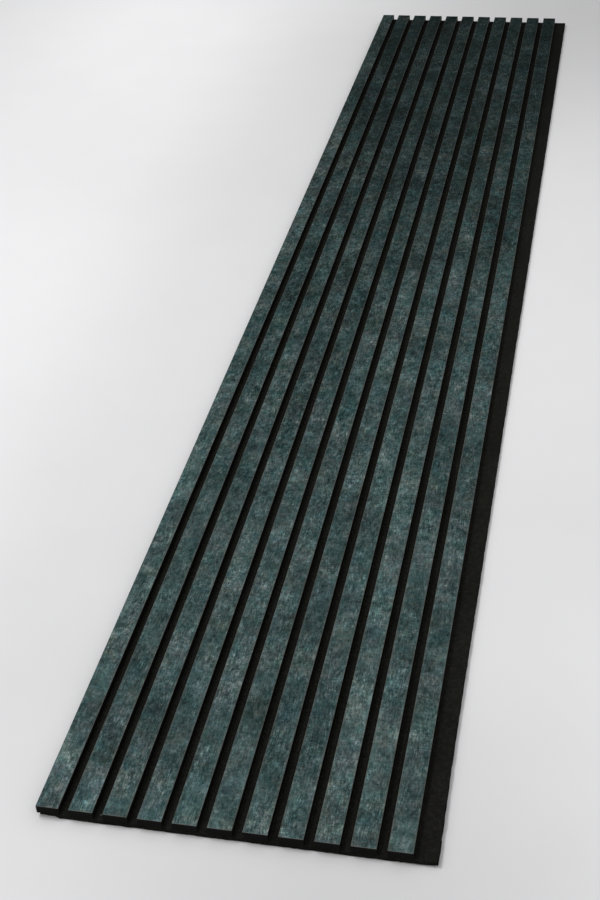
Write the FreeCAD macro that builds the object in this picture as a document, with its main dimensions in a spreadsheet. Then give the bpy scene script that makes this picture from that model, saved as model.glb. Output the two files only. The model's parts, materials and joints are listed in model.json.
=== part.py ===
"""Acoustic slat wall panel: eleven decor-faced slats stapled to a felt sheet.

The panel lies on the back of its felt, face up. X runs across the slats, Y along them and Z up from
the wall side to the decor. The origin is the middle of the felt's back. Lengths are in millimetres.
"""
import FreeCAD, Part
import os
import Sketcher
from FreeCAD import Vector

# Driving dimensions: the name of each cell, its value and what it measures
DIMENSIONS = [
    ("PanelLength", 2600.0, "length of the felt and of every slat"),
    ("SlatCount", 11, "slats side by side"),
    ("SlatPitch", 40.0, "from one slat to the same edge of the next"),
    ("SlatWidth", 28.0, "width of a slat, which leaves a 12 mm gap"),
    ("EdgeSlatWidth", 26.5, "width of the first slat, trimmed along the panel's edge"),
    ("CoreThickness", 10.4, "black fibreboard under the decor"),
    ("FaceThickness", 0.6, "decor strip on top of each slat"),
    ("FaceArris", 0.3, "bevel worn along the decor strip's upper edges"),
    ("FeltThickness", 6.0, "pressed felt sheet"),
    ("FeltMargin", 25.0, "bare felt beyond the last slat"),
    ("FeltInset", 2.4, "how far the first slat stands out over the felt's edge"),
    ("StapleRows", 8, "staples along one slat"),
    ("StapleEndDistance", 40.0, "from the slat's end to the first staple's middle"),
    ("StapleCrown", 12.0, "outer length of a staple's back"),
    ("WireWidth", 1.25, "staple wire, across the legs"),
    ("WireThickness", 1.05, "staple wire, in the plane of the legs"),
    ("ShoulderBevel", 0.5, "bend at the outside of a staple's shoulders"),
    ("PointLength", 1.6, "chisel point at the end of each leg"),
    ("CrownSink", 0.4, "how deep the crown is sunk below the felt's back"),
    ("PointCover", 2.0, "fibreboard left between a staple's point and the decor"),
    ("WireClearance", 0.05, "room around the wire in the felt and the slat"),
]

# Widths and places that several pieces share, worked out from the cells above
PANEL_WIDTH = "(D.EdgeSlatWidth + (D.SlatCount - 1) * D.SlatPitch + D.FeltMargin)"
LEFT_EDGE = f"(-{PANEL_WIDTH} / 2)"
SLAT_TOP_OF_CORE = "(D.FeltThickness + D.CoreThickness)"
FIRST_STAPLE_LINE = f"({LEFT_EDGE} + D.EdgeSlatWidth - D.SlatWidth / 2)"
STAPLE_ROW_LENGTH = "(D.PanelLength - 2 * D.StapleEndDistance)"
STAPLE_POINT_HEIGHT = f"({SLAT_TOP_OF_CORE} - D.PointCover)"
CROWN_SEAT = "(D.CrownSink + D.WireThickness)"
WIDEST_ARRIS = "(0.8 * D.FaceThickness)"

doc = FreeCAD.newDocument("AcousticSlatPanel")


def fill_sheet():
    """The spreadsheet of driving dimensions, named D so that expressions stay short."""
    sheet = doc.addObject("Spreadsheet::Sheet", "D")
    sheet.Label = "Dimensions"
    for row, (alias, value, meaning) in enumerate(DIMENSIONS, start=1):
        sheet.set(f"A{row}", alias)
        sheet.set(f"B{row}", str(value))
        sheet.set(f"C{row}", meaning)
        sheet.setAlias(f"B{row}", alias)
    doc.recompute()
    return sheet


def bind(target, **expressions):
    """Bind the properties of an object to expressions of the sheet's cells."""
    for name, expression in expressions.items():
        target.setExpression(name, expression)


def new_body(label, x, y, z):
    """An empty body for one piece, placed by three expressions."""
    body = doc.addObject("PartDesign::Body", label)
    body.Label = label
    body.setExpression("Placement.Base.x", x)
    body.setExpression("Placement.Base.y", y)
    body.setExpression("Placement.Base.z", z)
    return body


def origin_part(body, role):
    """One of the body's own planes or axes."""
    return next(part for part in body.Origin.OriginFeatures if part.Role == role)


def new_sketch(body, name, role):
    """A sketch on one of the body's origin planes."""
    sketch = body.newObject("Sketcher::SketchObject", name)
    sketch.AttachmentSupport = [(origin_part(body, role), "")]
    sketch.MapMode = "FlatFace"
    return sketch


def add_loop(sketch, points):
    """A closed run of straight edges, joined end to end. Returns the first edge's index."""
    first = sketch.GeometryCount
    count = len(points)
    for index in range(count):
        start = Vector(*points[index], 0)
        end = Vector(*points[(index + 1) % count], 0)
        sketch.addGeometry(Part.LineSegment(start, end), False)
    for index in range(count):
        following = first + (index + 1) % count
        sketch.addConstraint(Sketcher.Constraint("Coincident", first + index, 2, following, 1))
    return first


def add_size(sketch, name, kind, edge_a, point_a, edge_b, point_b, expression):
    """A named distance between two points of a sketch, bound to an expression."""
    value = 1.0
    constraint = Sketcher.Constraint(kind, edge_a, point_a, edge_b, point_b, value)
    index = sketch.addConstraint(constraint)
    sketch.renameConstraint(index, name)
    sketch.setExpression(f"Constraints.{name}", expression)


def add_rectangle(sketch, name, width, height, x=None, y=None):
    """A rectangle whose lower left corner is at x, y, or on the axis where that is None."""
    first = add_loop(sketch, [(1, 1), (2, 1), (2, 2), (1, 2)])
    for side in (0, 2):
        sketch.addConstraint(Sketcher.Constraint("Horizontal", first + side))
        sketch.addConstraint(Sketcher.Constraint("Vertical", first + side + 1))
    add_size(sketch, f"{name}Width", "DistanceX", first, 1, first, 2, width)
    add_size(sketch, f"{name}Height", "DistanceY", first + 1, 1, first + 1, 2, height)
    if x:
        add_size(sketch, f"{name}X", "DistanceX", -1, 1, first, 1, x)
    else:
        sketch.addConstraint(Sketcher.Constraint("PointOnObject", first, 1, -2))
    if y:
        add_size(sketch, f"{name}Y", "DistanceY", -1, 1, first, 1, y)
    else:
        sketch.addConstraint(Sketcher.Constraint("PointOnObject", first, 1, -1))


def pad(body, sketch, name, length, reverse=False, midplane=False):
    """Material added along the sketch's normal."""
    feature = body.newObject("PartDesign::Pad", name)
    feature.Profile = sketch
    feature.Reversed = reverse
    feature.Midplane = midplane
    bind(feature, Length=length)
    return feature


def pocket(body, sketch, name, depth):
    """Material taken away upwards from a sketch that lies level."""
    feature = body.newObject("PartDesign::Pocket", name)
    feature.Profile = sketch
    feature.Reversed = True
    bind(feature, Length=depth)
    return feature


def repeat_along(body, features, name):
    """The given features repeated once for each staple of a slat."""
    rows = body.newObject("PartDesign::LinearPattern", name)
    rows.Originals = features
    rows.Refine = False
    rows.Direction = (origin_part(body, "Y_Axis"), [""])
    bind(rows, Length=STAPLE_ROW_LENGTH, Occurrences="D.StapleRows")
    return rows


def repeat_over_slats(rows, body):
    """The same pattern taken across, once for each slat."""
    rows.Direction2 = (origin_part(body, "X_Axis"), [""])
    bind(rows, Length2="D.SlatPitch * (D.SlatCount - 1)", Occurrences2="D.SlatCount")


def add_leg_holes(sketch, slat_middle):
    """The two square holes of one staple's legs, on a slat's middle line."""
    wide = "(D.WireWidth + 2 * D.WireClearance)"
    deep = "(D.WireThickness + 2 * D.WireClearance)"
    left = f"{slat_middle} - {wide} / 2"
    near = "D.StapleEndDistance - D.StapleCrown / 2 - D.WireClearance"
    far = "D.StapleEndDistance + D.StapleCrown / 2 - D.WireThickness - D.WireClearance"
    add_rectangle(sketch, "NearLeg", wide, deep, left, near)
    add_rectangle(sketch, "FarLeg", wide, deep, left, far)


def make_felt():
    """The felt sheet, with a sunk slot and two leg holes for every staple."""
    width = f"({PANEL_WIDTH} - D.FeltInset)"
    left = f"{LEFT_EDGE} + D.FeltInset"
    body = new_body("felt_backing", left, "-D.PanelLength / 2", "0")
    outline = new_sketch(body, "FeltOutline", "XY_Plane")
    add_rectangle(outline, "Sheet", width, "D.PanelLength")
    pad(body, outline, "FeltSheet", "D.FeltThickness")

    line = "(D.EdgeSlatWidth - D.SlatWidth / 2 - D.FeltInset)"
    slot = new_sketch(body, "CrownSlotOutline", "XY_Plane")
    slot_width = "(D.WireWidth + 2 * D.WireClearance)"
    slot_length = "(D.StapleCrown + 2 * D.WireClearance)"
    slot_near = "D.StapleEndDistance - D.StapleCrown / 2 - D.WireClearance"
    add_rectangle(slot, "Slot", slot_width, slot_length, f"{line} - {slot_width} / 2", slot_near)
    crown_slot = pocket(body, slot, "CrownSlot", CROWN_SEAT)
    holes = new_sketch(body, "FeltHoleOutline", "XY_Plane")
    add_leg_holes(holes, line)
    leg_holes = pocket(body, holes, "FeltHoles", "D.FeltThickness")
    grid = repeat_along(body, [crown_slot, leg_holes], "FeltStapleGrid")
    repeat_over_slats(grid, body)
    body.Tip = grid
    return body


def slat_right_edge(index):
    """Where the right side of a slat stands, the first slat having index 0."""
    return f"({LEFT_EDGE} + D.EdgeSlatWidth + {index} * D.SlatPitch)"


def slat_width(index):
    """The first slat is trimmed, the others have the full width."""
    return "D.SlatWidth" if index else "D.EdgeSlatWidth"


def make_core(index):
    """One fibreboard slat, with the blind holes that its staples' legs fill."""
    label = f"slat_core_{index + 1:02d}"
    width = slat_width(index)
    left = f"{slat_right_edge(index)} - {width}"
    body = new_body(label, left, "-D.PanelLength / 2", "D.FeltThickness")
    section = new_sketch(body, "SlatSection", "XZ_Plane")
    add_rectangle(section, "Slat", width, "D.CoreThickness")
    pad(body, section, "SlatLength", "D.PanelLength", reverse=True)
    holes = new_sketch(body, "SlatHoleOutline", "XY_Plane")
    add_leg_holes(holes, f"({width} - D.SlatWidth / 2)")
    depth = "D.CoreThickness - D.PointCover + D.WireClearance"
    leg_holes = pocket(body, holes, "SlatHoles", depth)
    body.Tip = repeat_along(body, [leg_holes], "SlatHoleRow")
    return body


def top_face_name(feature):
    """The name of the highest level face of a feature."""
    faces = feature.Shape.Faces
    heights = [face.CenterOfMass.z for face in faces]
    return f"Face{heights.index(max(heights)) + 1}"


def make_face(index):
    """One decor strip, glued over the whole top of its slat, its upper edges bevelled."""
    label = f"slat_face_{index + 1:02d}"
    width = slat_width(index)
    left = f"{slat_right_edge(index)} - {width}"
    body = new_body(label, left, "-D.PanelLength / 2", SLAT_TOP_OF_CORE)
    section = new_sketch(body, "StripSection", "XZ_Plane")
    add_rectangle(section, "Strip", width, "D.FaceThickness")
    strip = pad(body, section, "StripLength", "D.PanelLength", reverse=True)
    strip.recompute(True)
    arris = body.newObject("PartDesign::Chamfer", "WornArris")
    arris.Base = (strip, [top_face_name(strip)])
    bind(arris, Size=f"min(D.FaceArris; {WIDEST_ARRIS})")
    return body


def make_staples():
    """All staples: bent wire with a chisel point on each leg, crowns down in the felt's back."""
    body = new_body("staples", FIRST_STAPLE_LINE, "-D.PanelLength / 2", "0")
    sketch = new_sketch(body, "StapleOutline", "YZ_Plane")
    near, far, low, high = 1.0, 13.0, 1.0, 15.0
    wire, bevel, point = 1.0, 0.5, 1.5
    outline = [
        (near + bevel, low),
        (far - bevel, low),
        (far, low + bevel),
        (far, high - point),
        (far - wire, high),
        (far - wire, low + wire),
        (near + wire, low + wire),
        (near + wire, high),
        (near, high - point),
        (near, low + bevel),
    ]
    crown = add_loop(sketch, outline)
    for level in (0, 5):
        sketch.addConstraint(Sketcher.Constraint("Horizontal", crown + level))
    for upright in (2, 4, 6, 8):
        sketch.addConstraint(Sketcher.Constraint("Vertical", crown + upright))
    first_end = "D.StapleEndDistance - D.StapleCrown / 2"
    add_size(sketch, "CrownStart", "DistanceX", -1, 1, crown + 8, 2, first_end)
    add_size(sketch, "CrownLength", "DistanceX", crown + 8, 2, crown + 2, 1, "D.StapleCrown")
    add_size(sketch, "CrownHeight", "DistanceY", -1, 1, crown, 1, "D.CrownSink")
    add_size(sketch, "CrownWire", "DistanceY", crown, 1, crown + 5, 2, "D.WireThickness")
    add_size(sketch, "FarBevel", "DistanceX", crown + 1, 1, crown + 1, 2, "D.ShoulderBevel")
    add_size(sketch, "FarBevelRise", "DistanceY", crown + 1, 1, crown + 1, 2, "D.ShoulderBevel")
    add_size(sketch, "NearBevel", "DistanceX", crown + 9, 1, crown + 9, 2, "D.ShoulderBevel")
    add_size(sketch, "NearBevelRise", "DistanceY", crown + 9, 2, crown + 9, 1, "D.ShoulderBevel")
    add_size(sketch, "FarWire", "DistanceX", crown + 4, 1, crown + 3, 1, "D.WireThickness")
    add_size(sketch, "NearWire", "DistanceX", crown + 8, 1, crown + 7, 1, "D.WireThickness")
    add_size(sketch, "FarPoint", "DistanceY", crown + 3, 1, crown + 3, 2, "D.PointLength")
    add_size(sketch, "NearPoint", "DistanceY", crown + 7, 2, crown + 7, 1, "D.PointLength")
    add_size(sketch, "FarLegHeight", "DistanceY", -1, 1, crown + 3, 2, STAPLE_POINT_HEIGHT)
    add_size(sketch, "NearLegHeight", "DistanceY", -1, 1, crown + 7, 1, STAPLE_POINT_HEIGHT)
    wire_pad = pad(body, sketch, "StapleWire", "D.WireWidth", midplane=True)
    grid = repeat_along(body, [wire_pad], "StapleGrid")
    repeat_over_slats(grid, body)
    body.Tip = grid
    return body


def check(pieces):
    """Stop with a plain message if a feature failed or a piece has no sound shape."""
    for item in doc.Objects:
        if "Invalid" in item.State or "Error" in item.State:
            raise RuntimeError(f"{item.Label} failed: {item.State}")
    for piece in pieces:
        if piece.Shape.isNull() or not piece.Shape.isValid():
            raise RuntimeError(f"{piece.Label} has no sound shape")


def export(pieces):
    """One STEP file for each piece, named after it."""
    os.makedirs("parts", exist_ok=True)
    for piece in pieces:
        piece.Shape.exportStep(f"parts/{piece.Label}.step")


sheet = fill_sheet()
slat_count = int(sheet.get("SlatCount"))
pieces = [make_felt()]
for slat in range(slat_count):
    pieces.append(make_core(slat))
    pieces.append(make_face(slat))
pieces.append(make_staples())
doc.recompute()
check(pieces)
for piece in pieces:
    box = piece.Shape.BoundBox
    print(f"{piece.Label}: {len(piece.Shape.Solids)} solids, {piece.Shape.Volume:.0f} mm3, "
          f"x {box.XMin:.2f} to {box.XMax:.2f}, y {box.YMin:.1f} to {box.YMax:.1f}, "
          f"z {box.ZMin:.2f} to {box.ZMax:.2f}")
export(pieces)
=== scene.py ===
import json
import math

import bpy
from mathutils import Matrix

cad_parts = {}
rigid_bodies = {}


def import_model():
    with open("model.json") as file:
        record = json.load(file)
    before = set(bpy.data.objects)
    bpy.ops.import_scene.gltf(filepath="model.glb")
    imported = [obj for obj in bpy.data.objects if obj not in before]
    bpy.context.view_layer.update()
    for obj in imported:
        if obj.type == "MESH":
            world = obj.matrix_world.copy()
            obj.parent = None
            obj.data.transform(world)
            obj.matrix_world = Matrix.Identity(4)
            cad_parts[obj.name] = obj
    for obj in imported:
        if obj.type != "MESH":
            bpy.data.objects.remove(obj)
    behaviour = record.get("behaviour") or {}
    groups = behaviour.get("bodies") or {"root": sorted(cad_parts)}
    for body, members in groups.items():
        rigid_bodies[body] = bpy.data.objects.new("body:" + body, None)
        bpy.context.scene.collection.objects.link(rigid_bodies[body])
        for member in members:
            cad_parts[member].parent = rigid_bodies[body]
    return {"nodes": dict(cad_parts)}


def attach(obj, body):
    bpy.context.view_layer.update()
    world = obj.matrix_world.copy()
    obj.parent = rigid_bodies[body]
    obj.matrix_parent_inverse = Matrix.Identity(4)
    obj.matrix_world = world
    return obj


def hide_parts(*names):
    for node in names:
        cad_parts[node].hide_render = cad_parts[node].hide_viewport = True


# The bench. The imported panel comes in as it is, every solid in its place, and the cube, light and
# camera of a new Blender file are taken away.
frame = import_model()
for leftover in [o for o in bpy.data.objects if o.name in ("Cube", "Light", "Camera")]:
    bpy.data.objects.remove(leftover)
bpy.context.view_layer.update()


# Felt backing. One sheet of black needled polyester felt, 6 mm thick, cut with a blade. The slats
# are glued and stapled to it. Its right margin is left bare for the next panel's first slat.
FELT_LEFT, FELT_RIGHT, FELT_END, FELT_THICK = -0.22335, 0.22575, 1.3, 0.006
RIM_BEVEL, RIM_FRAY, CORNER_CUT_BACK = 0.0011, 0.0005, 0.0024
SLAT_MIDDLES = [-0.2125] + [-0.17325 + 0.04 * slat for slat in range(10)]
STAPLE_LINES = [-1.26 + 0.36 * row for row in range(8)]
CROWN_SLOT = (0.0008, 0.0064)
CROWN_DENT = (0.0026, 0.0085)
DENT_DEPTH = 0.0011
NEAR_LEFT_CORNER = (-0.2075, -1.2985)
MARGIN_LEFT = 0.20075
MARGIN_WAVE, MARGIN_LIFT, MARGIN_FLARE = 0.0002, 0.0014, 0.0017
LIFT_REACH, FLARE_REACH = 0.55, 0.10
FELT_BLACKS = [
    (0.45, (0.0040, 0.0039, 0.0033)),
    (0.85, (0.0086, 0.0084, 0.0071)),
    (1.0, (0.015, 0.015, 0.013)),
]
FIBRE_GREY = (0.045, 0.045, 0.043)
LINT_GREY = (0.11, 0.11, 0.105)


class Link:
    """One output of a finish's nodes. Sums on it add Math nodes, so that a finish reads as maths."""

    def __init__(self, tree, socket=None):
        self.tree = tree
        self.socket = socket

    def node(self, kind, settings, sockets, output=0):
        """A new node: its settings first, then the value or the link of each named socket."""
        made = self.tree.nodes.new(kind)
        for name, value in settings.items():
            if name == "stops":
                self.set_stops(made.color_ramp, value)
            else:
                setattr(made, name, value)
        for name, value in sockets.items():
            if isinstance(value, Link):
                self.tree.links.new(value.socket, made.inputs[name])
            else:
                made.inputs[name].default_value = value
        return Link(self.tree, made.outputs[output] if made.outputs else None)

    def set_stops(self, ramp, stops):
        """The stops of a colour ramp, each a mark from 0 to 1 and a colour."""
        while len(ramp.elements) > 1:
            ramp.elements.remove(ramp.elements[-1])
        ramp.elements[0].position = stops[0][0]
        ramp.elements[0].color = (*stops[0][1], 1.0)
        for mark, colour in stops[1:]:
            ramp.elements.new(mark).color = (*colour, 1.0)

    def sums(self, operation, *values):
        """What a Math node makes of these values."""
        return self.node("ShaderNodeMath", {"operation": operation}, dict(enumerate(values)))

    def __add__(self, other):
        return self.sums("ADD", self, other)

    def __sub__(self, other):
        return self.sums("SUBTRACT", self, other)

    def __rsub__(self, other):
        return self.sums("SUBTRACT", other, self)

    def __mul__(self, other):
        return self.sums("MULTIPLY", self, other)

    __radd__ = __add__
    __rmul__ = __mul__

    def size(self):
        """How far this is from 0, whichever way."""
        return self.sums("ABSOLUTE", self)

    def least(self, other):
        """The smaller of the two."""
        return self.sums("MINIMUM", self, other)

    def most(self, other):
        """The larger of the two."""
        return self.sums("MAXIMUM", self, other)

    def within(self, length):
        """How far this is into its own repeat of that length."""
        return self.sums("WRAP", self, length, 0.0)

    def part(self, axis):
        """One number of this vector: axis 0 is x, 1 is y and 2 is z."""
        return self.node("ShaderNodeSeparateXYZ", {}, {"Vector": self}, output=axis)

    def rise(self, low, high):
        """0 below low, 1 above high and a soft step between them."""
        return self.node(
            "ShaderNodeMapRange",
            {"interpolation_type": "SMOOTHSTEP"},
            {"Value": self, "From Min": low, "From Max": high},
        )

    def by(self, point, reach, core=0.6):
        """1 within that core of the reach round the point, and 0 past the reach."""
        away = self.node("ShaderNodeVectorMath", {"operation": "DISTANCE"}, {0: self, 1: point}, output=1)
        return 1.0 - away.rise(reach * core, reach)

    def laid(self, scale, degrees=0.0, shift=(0.0, 0.0, 0.0)):
        """These coordinates moved, turned on the flat and stretched."""
        turn = (0.0, 0.0, math.radians(degrees))
        return self.node(
            "ShaderNodeMapping",
            {},
            {"Vector": self, "Location": shift, "Rotation": turn, "Scale": scale},
        )

    def noise(self, per_metre, detail=2.0, roughness=0.5, distortion=0.0):
        """Noise with that many lumps to the metre, and finer noise on them."""
        return self.node(
            "ShaderNodeTexNoise",
            {},
            {
                "Vector": self,
                "Scale": per_metre,
                "Detail": detail,
                "Roughness": roughness,
                "Distortion": distortion,
            },
        )

    def ramp(self, stops):
        """The colour that the stops give this value."""
        return self.node("ShaderNodeValToRGB", {"stops": stops}, {"Fac": self})

    def between(self, first, second):
        """The first colour where this is 0 and the second where it is 1."""
        sockets = {0: self}
        for number, colour in ((6, first), (7, second)):
            sockets[number] = colour if isinstance(colour, Link) else (*colour, 1.0)
        return self.node("ShaderNodeMix", {"data_type": "RGBA"}, sockets, output=2)

    def tinted(self, shift, first, second):
        """This colour, tinted with the first where the shift is 0 and the second where it is 1."""
        kind = {"data_type": "RGBA", "blend_type": "MULTIPLY"}
        sockets = {0: 1.0, 6: self, 7: shift.between(first, second)}
        return self.node("ShaderNodeMix", kind, sockets, output=2)

    def times(self, colour):
        """The colour, this many times as bright."""
        return self.node("ShaderNodeVectorMath", {"operation": "SCALE"}, {0: colour, "Scale": self})


def new_finish(name):
    """An empty material, and where each of its points lies on the panel, in metres."""
    finish = bpy.data.materials.new(name)
    finish.use_nodes = True
    finish.node_tree.nodes.clear()
    return finish, Link(finish.node_tree).node("ShaderNodeTexCoord", {}, {}, output=3)


def lay_finish(place, look, relief, depth):
    """The shader with these sockets and a relief of that depth in metres, on the material."""
    bumps = {"Height": relief, "Distance": depth, "Strength": 1.0}
    look["Normal"] = place.node("ShaderNodeBump", {}, bumps)
    shader = place.node("ShaderNodeBsdfPrincipled", {}, look)
    place.node("ShaderNodeOutputMaterial", {}, {"Surface": shader})


felt_finish, place = new_finish("felt_black")
fleece = place.laid((1.0, 0.55, 1.0)).noise(900.0, 4.0, 0.7, 1.2)
tufts = place.noise(160.0, 3.0, 0.6)
pale_fibre = place.laid((1.0, 0.18, 1.0), 31.0).noise(1300.0, 2.0, 0.5, 2.0).rise(0.66, 0.74)
wear = place.noise(9.0, 4.0, 0.6)
black = (fleece * 0.9 + tufts * 0.5 + wear * 0.35).ramp(FELT_BLACKS)
black = (pale_fibre * 0.5).between(black, FIBRE_GREY)
# Painted shade: the felt is painted up to 28 % darker towards the far end, where less light reaches it
black = (1.0 - place.part(1).rise(0.1, 1.1) * 0.28).times(black)
lint = place.by((-0.1524, -1.2924, 0.006), 0.0011) + place.by((-0.1476, -1.2945, 0.0065), 0.0009)
lay_finish(
    place,
    {
        "Base Color": (lint * 0.8).between(black, LINT_GREY),
        "Roughness": 1.0,
        "Specular IOR Level": 0.02,
    },
    fleece + tufts * 0.6,
    0.0007,
)

bpy.ops.object.select_all(action="DESELECT")
bpy.ops.mesh.primitive_grid_add(
    x_subdivisions=56,
    y_subdivisions=260,
    size=1,
    location=((FELT_LEFT + FELT_RIGHT) / 2, 0.0, FELT_THICK),
)
felt = bpy.context.object
felt.name = "felt_sheet"
felt.scale = (FELT_RIGHT - FELT_LEFT, 2 * FELT_END, 1.0)
bpy.ops.object.transform_apply(location=True, scale=True)
bpy.ops.object.mode_set(mode="EDIT")

# Cuts beside every crown, so that its dent has faces of its own
for middles, axis, across in ((SLAT_MIDDLES, 0, (1, 0, 0)), (STAPLE_LINES, 1, (0, 1, 0))):
    for middle in middles:
        for side in (-CROWN_DENT[axis], -CROWN_SLOT[axis], CROWN_SLOT[axis], CROWN_DENT[axis]):
            bpy.ops.mesh.select_all(action="SELECT")
            line = tuple((middle + side) * step for step in across)
            bpy.ops.mesh.bisect(plane_co=line, plane_no=across)
bpy.ops.object.mode_set(mode="OBJECT")
thickness = felt.modifiers.new("thickness", "SOLIDIFY")
thickness.thickness = FELT_THICK
thickness.offset = -1
bpy.ops.object.modifier_apply(modifier="thickness")
cut_edge = felt.modifiers.new("cut_edge", "BEVEL")
cut_edge.width = RIM_BEVEL
cut_edge.segments = 3
cut_edge.limit_method = "ANGLE"
cut_edge.angle_limit = math.radians(60)
bpy.ops.object.modifier_apply(modifier="cut_edge")


def choose(piece, wanted):
    """Selects the piece's faces whose middle is wanted, and goes into edit mode."""
    bpy.ops.object.mode_set(mode="EDIT")
    bpy.ops.mesh.select_mode(type="FACE")
    bpy.ops.mesh.select_all(action="DESELECT")
    bpy.ops.object.mode_set(mode="OBJECT")
    for face in piece.data.polygons:
        face.select = wanted(face)
    bpy.ops.object.mode_set(mode="EDIT")


def under_a_crown(face):
    """Whether the face is on the felt's back, where a staple's crown presses it in."""
    if face.normal.z > -0.9 or face.center.z > 0.0005:
        return False
    across = min(abs(face.center.x - middle) for middle in SLAT_MIDDLES)
    along = min(abs(face.center.y - line) for line in STAPLE_LINES)
    return across < CROWN_SLOT[0] and along < CROWN_SLOT[1]


choose(felt, under_a_crown)
bpy.ops.transform.translate(value=(0.0, 0.0, DENT_DEPTH))
choose(felt, lambda face: abs(face.normal.z) < 0.5)
bpy.ops.transform.vertex_random(offset=RIM_FRAY, uniform=1.0, normal=0.0, seed=11)
choose(felt, lambda face: face.center.x < NEAR_LEFT_CORNER[0] and face.center.y < NEAR_LEFT_CORNER[1])
bpy.ops.transform.translate(value=(0.0, CORNER_CUT_BACK, 0.0))
bpy.ops.object.mode_set(mode="OBJECT")

# The bare margin doesn't lie quite flat, and its near end is a little wider
for vertex in felt.data.vertices:
    vertex.co.z = max(0.0, vertex.co.z)
    out = (vertex.co.x - MARGIN_LEFT) / (FELT_RIGHT - MARGIN_LEFT)
    if out > 0:
        from_near_end = vertex.co.y + FELT_END
        wave = 0.5 + 0.3 * math.sin(vertex.co.y * 11.0) + 0.2 * math.sin(vertex.co.y * 29.0 + 1.0)
        lift = MARGIN_WAVE * wave + MARGIN_LIFT * math.exp(-((from_near_end / LIFT_REACH) ** 2))
        flare = MARGIN_FLARE * math.exp(-((from_near_end / FLARE_REACH) ** 2))
        vertex.co.z += lift * out ** 1.5
        vertex.co.x += flare * out ** 1.5
bpy.ops.object.shade_smooth_by_angle(angle=math.radians(50))
felt.data.materials.append(felt_finish)
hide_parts("felt_backing")
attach(felt, "root")


# Slats, the boards. Eleven strips ripped from one black-dyed fibreboard, 10.4 mm thick. Their sides
# and ends are the bare saw cuts, which stay black right through.
BOARD_BLACKS = [
    (0.25, (0.0014, 0.0014, 0.0012)),
    (0.55, (0.0032, 0.0031, 0.0027)),
    (0.8, (0.0070, 0.0066, 0.0056)),
]
CHIP_BROWN = (0.034, 0.028, 0.021)
DUST_GREY = (0.04, 0.042, 0.042)
board_finish, place = new_finish("board_black")
fibre = place.laid((1.0, 0.22, 1.0)).noise(1500.0, 4.0, 0.65)
saw_marks = place.laid((1.0, 1.0, 0.05)).noise(420.0, 2.0, 0.5)
chips = place.noise(700.0, 2.0, 0.5).rise(0.66, 0.76)
dust = place.noise(26.0, 5.0, 0.65).rise(0.5, 0.8)
black = (fibre * 0.7 + saw_marks * 0.3).ramp(BOARD_BLACKS)
black = (chips * 0.45).between(black, CHIP_BROWN)
lint = place.by((0.0127, -1.3, 0.010), 0.0009)
black = lint.between(black, LINT_GREY)
lay_finish(
    place,
    {
        "Base Color": (dust * 0.04).between(black, DUST_GREY),
        "Roughness": fibre * 0.3 + 0.62,
        "Specular IOR Level": 0.08,
    },
    fibre + saw_marks * 0.6,
    0.0002,
)
for number in range(1, 12):
    frame["nodes"][f"slat_core_{number:02d}"].material_slots[0].material = board_finish


# Slats, the decor. A printed sheet glued on the board before it was ripped, so its worn teal patina runs
# on from one slat to the next. It has a soft metallic gloss, and its arrises are painted pale: partly the
# paper of the rubbed foil, partly a painted highlight.
SECOND_SLAT_LEFT, SLAT_PITCH, SLAT_WIDTH = -0.18725, 0.040, 0.028
FIRST_GAP, EIGHTH_GAP, NINTH_GAP = (-0.199, -0.188), (0.081, 0.092), (0.121, 0.132)
DECOR_TEAL = (0.0523, 0.0850, 0.0862)
DECOR_CONTRAST = (8.2, 7.1, 7.0)
RUST_TINTS = (0.76, 1.02, 1.01), (1.27, 0.98, 0.94)
BLUE_TINTS = (1.0, 1.0, 0.90), (1.0, 1.0, 1.10)
PALE_TEAL = (0.080, 0.135, 0.134)
PIT_TEAL = (0.012, 0.019, 0.020)
RUBBED_PAPER_AND_HIGHLIGHT = (0.112, 0.114, 0.103)
decor_finish, place = new_finish("decor_patina")
east = place.part(0)
north = place.part(1)

# Clouds a hand wide or more, and two slats painted paler than the rest: painted light, in place of a
# slight lean of these slats that would make them mirror more light
drift = place.laid((1.0, 0.8, 1.0), 20.0).noise(2.1, 2.0, 0.5)
mottle = place.laid((1.0, 0.82, 1.0)).noise(8.0, 6.0, 0.95, 0.1)
smoke = place.laid((3.0, 1.0, 1.0), 38.0).noise(5.0, 5.0, 0.8, 0.6).rise(0.54, 0.70)
lean_light_first = (1.0 - east.rise(*FIRST_GAP)) * (north * 0.019 + 0.040)
lean_light_ninth = east.rise(*EIGHTH_GAP) * (1.0 - east.rise(*NINTH_GAP)) * 0.018

# Brush marks: a fine weave of threads both ways, and pale and dark flecks that come in crowds
grain = place.laid((1.0, 0.48, 1.0)).noise(130.0, 3.0, 1.0)
along = place.laid((1.0, 0.10, 1.0)).noise(900.0, 2.0, 0.6)
across = place.laid((0.13, 1.0, 1.0)).noise(760.0, 2.0, 0.6)
threads = (along - 0.5) * 1.8 + (across - 0.5) * 0.9
crowd = (place.laid((1.0, 0.75, 1.0), 0.0, (1.3, 2.9, 0.0)).noise(24.0, 5.0, 0.95) - 0.5) * 1.3
cross_mark = place.laid((0.30, 1.0, 1.0), 3.0).noise(380.0, 1.0, 0.5)
long_mark = place.laid((1.0, 0.20, 1.0), -4.0, (0.4, 0.0, 0.0)).noise(420.0, 1.0, 0.5)
dark_mark = place.laid((0.8, 0.5, 1.0), 0.0, (0.9, 0.3, 0.0)).noise(330.0, 1.0, 0.5)
light = (cross_mark + crowd).rise(0.58, 0.66) * 0.8 + (long_mark + crowd).rise(0.57, 0.65) * 1.3
dark = (dark_mark - crowd).rise(0.57, 0.66)
busy = place.laid((1.0, 0.8, 1.0), 0.0, (5.1, 0.3, 0.0)).noise(15.0, 3.0, 0.7).rise(0.32, 0.68) + 0.5
crisp = 1.0 - north.rise(-0.6, 0.9) * 0.32
marks = ((grain - 0.5) * 0.29 + threads * 0.15) * busy + light * 0.038 - dark * 0.048

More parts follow.
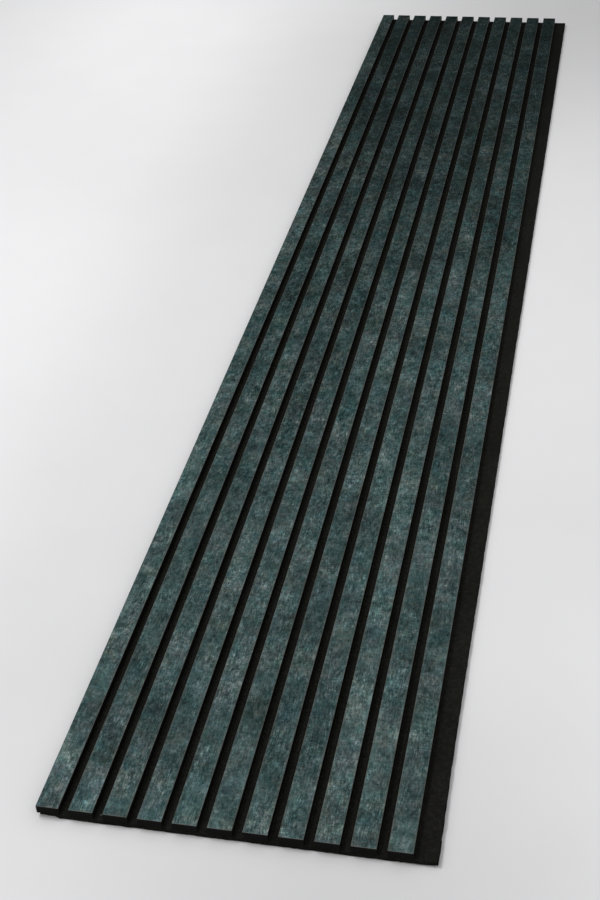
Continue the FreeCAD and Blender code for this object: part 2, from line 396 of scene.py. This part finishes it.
# The tone, from dark to pale about 0.5, and the teal that each tone has
tone = (mottle - 0.5) * 0.56 + (drift - 0.5) * 0.04 + marks * crisp - smoke * 0.010 + 0.494
tone = tone + lean_light_first + lean_light_ninth + north.rise(-0.5, 0.4) * 0.014
shades = []
for step in range(11):
    mark = 0.25 + 0.05 * step
    shade = [c * math.exp(k * (mark - 0.5)) for c, k in zip(DECOR_TEAL, DECOR_CONTRAST)]
    shades.append((mark, shade))
patina = tone.ramp(shades)

# Tints of rust and of blue, pale wisps, and pits
rust = place.laid((1.0, 0.7, 1.0), 0.0, (3.1, 1.7, 0.0)).noise(26.0, 6.0, 1.0).rise(0.33, 0.67)
patina = patina.tinted(rust, *RUST_TINTS)
blue = place.laid((1.0, 0.8, 1.0), 0.0, (0.7, 5.2, 0.0)).noise(30.0, 5.0, 1.0).rise(0.33, 0.67)
patina = patina.tinted(blue, *BLUE_TINTS)
wisp = place.laid((1.0, 0.28, 1.0), -7.0).noise(48.0, 4.0, 0.75, 1.4)
wisp = (1.0 - (wisp - 0.5).size() * 24.0).rise(0.0, 1.0)
wisp = wisp * place.laid((1.0, 0.5, 1.0), 0.0, (2.2, 0.4, 0.0)).noise(9.0, 3.0, 0.6).rise(0.50, 0.64)
patina = (wisp * 0.45).between(patina, PALE_TEAL)
pits = place.noise(640.0, 1.0, 0.5).rise(0.67, 0.74)
patina = (pits * 0.6).between(patina, PIT_TEAL)

# Wear and painted highlight: the bevelled arrises are painted pale, partly the paper where they are
# rubbed down and partly a painted highlight along them, and the strip's edges beside them fade
facing = place.node("ShaderNodeTexCoord", {}, {}, output=1)
arris = 1.0 - facing.part(2).rise(0.80, 0.95)
in_pitch = (east - SECOND_SLAT_LEFT).within(SLAT_PITCH)
to_edge = in_pitch.least(SLAT_WIDTH - in_pitch)
rubbed = (1.0 - to_edge.rise(0.0008, 0.0034)) * place.noise(60.0, 4.0, 0.7).rise(0.36, 0.62)
wear_and_highlight = (arris * 0.8).most(rubbed * 0.35)
patina = wear_and_highlight.between(patina, RUBBED_PAPER_AND_HIGHLIGHT)
lay_finish(
    place,
    {
        "Base Color": patina,
        "Metallic": 0.82 - arris * 0.82,
        "Roughness": 0.22 + threads * 0.2 + arris * 0.3,
        "Specular IOR Level": 0.2,
        "Specular Tint": (0.13, 0.05, 0.05, 1.0),
    },
    tone,
    0.0002,
)
for number in range(1, 12):
    frame["nodes"][f"slat_face_{number:02d}"].material_slots[0].material = decor_finish


# Staples. Galvanised wire, shot from behind through the felt into every slat, in rows 360 mm apart.
# Their crowns lie sunk in the felt's back.
wire_finish, place = new_finish("wire_galvanised")
spangle = place.noise(380.0, 3.0, 0.6)
draw_lines = place.laid((14.0, 0.4, 14.0)).noise(260.0, 2.0, 0.5)
lay_finish(
    place,
    {
        "Base Color": spangle.ramp([(0.3, (0.36, 0.37, 0.38)), (0.7, (0.60, 0.61, 0.62))]),
        "Metallic": 1.0,
        "Roughness": 0.28 + spangle * 0.3,
    },
    draw_lines + spangle * 0.3,
    0.00003,
)
frame["nodes"]["staples"].material_slots[0].material = wire_finish


# Floor of the studio: matt pale paper, not part of the panel. The felt lies on it. A studio's light is
# uneven, so soft pools of light and painted shadows are painted on the paper: each one's middle, its
# reach and how much paler it is.
FLOOR_LIGHT_PATCHES = [
    (-0.66, 1.40, 1.2, 0.36),
    (-1.10, 0.15, 1.1, 0.15),
    (0.08, 1.44, 1.1, -0.29),
    (0.28, -1.05, 1.0, -0.08),
    (0.18, -1.38, 0.5, -0.15),
    (0.68, -1.20, 0.7, 0.13),
]
bpy.ops.object.select_all(action="DESELECT")
bpy.ops.mesh.primitive_plane_add(size=300.0, location=(0.0, 0.0, -0.0002))
floor = bpy.context.object
floor.name = "floor"
floor_finish, place = new_finish("paper_floor")
clouds = place.noise(7.0, 3.0, 0.5)
east = place.part(0)
north = place.part(1)
# Painted shade: the paper just left of the panel is painted darker, as the panel's own shade
beside = east.rise(-0.65, -0.33) * (1.0 - east.rise(-0.25, 0.1)) * (1.0 - north.size().rise(1.0, 1.6))
light_and_shade = 0.955 - beside * 0.085
for x, y, reach, change in FLOOR_LIGHT_PATCHES:
    light_and_shade = light_and_shade + place.by((x, y, 0.0), reach, 0.0) * change
paper = clouds.ramp([(0.3, (0.713, 0.713, 0.722)), (0.7, (0.727, 0.727, 0.736))])
lay_finish(place, {"Base Color": light_and_shade.times(paper), "Roughness": 0.9}, clouds, 0.0001)
floor.data.materials.append(floor_finish)


# Light. A studio room with a bright ceiling, darker walls and a pale foot all round. A dark screen
# stands past the far end, and the decor mirrors it. One lamp high on the panel's left throws the
# narrow shadow beside the felt's right edge.
room = bpy.data.worlds.new("room")
room.use_nodes = True
room.node_tree.nodes.clear()
towards = Link(room.node_tree).node("ShaderNodeTexCoord", {}, {}, output=0)
ahead = towards.part(1)
height = towards.part(2)
WALL, SCREEN, CEILING, FOOT = 0.45, 0.02, 0.90, 0.59
wall = WALL - ahead.rise(0.55, 0.80) * (WALL - SCREEN)
glow = wall + height.rise(0.365, 0.46) * (CEILING - wall)
glow = glow + (1.0 - height.rise(0.02, 0.16)) * (FOOT - wall)
sky = towards.node("ShaderNodeBackground", {}, {"Color": (1.0, 1.0, 1.0, 1.0), "Strength": glow})
towards.node("ShaderNodeOutputWorld", {}, {"Surface": sky})
bpy.context.scene.world = room
bpy.ops.object.light_add(
    type="AREA", location=(-0.88, -0.95, 2.2), rotation=(math.radians(20.0), math.radians(-38.0), 0.0)
)
lamp = bpy.context.object
lamp.name = "lamp"
lamp.data.shape = "RECTANGLE"
lamp.data.size = 0.5
lamp.data.size_y = 0.9
lamp.data.energy = 26.0
lamp.visible_camera = False
lamp.visible_glossy = False


# Camera. The photograph was taken standing at the panel's near end, with a lens a little longer
# than normal. Its place and turn were worked out from the slats' edges.
bpy.ops.object.camera_add(
    location=(0.343361, -2.332651, 1.287026),
    rotation=(math.radians(54.673), math.radians(2.6766), math.radians(11.2653)),
)
camera = bpy.context.object
camera.name = "camera"
camera.data.lens = 59.24
camera.data.sensor_width = 36.0
bpy.context.scene.camera = camera
bpy.context.scene.view_settings.view_transform = "Standard"
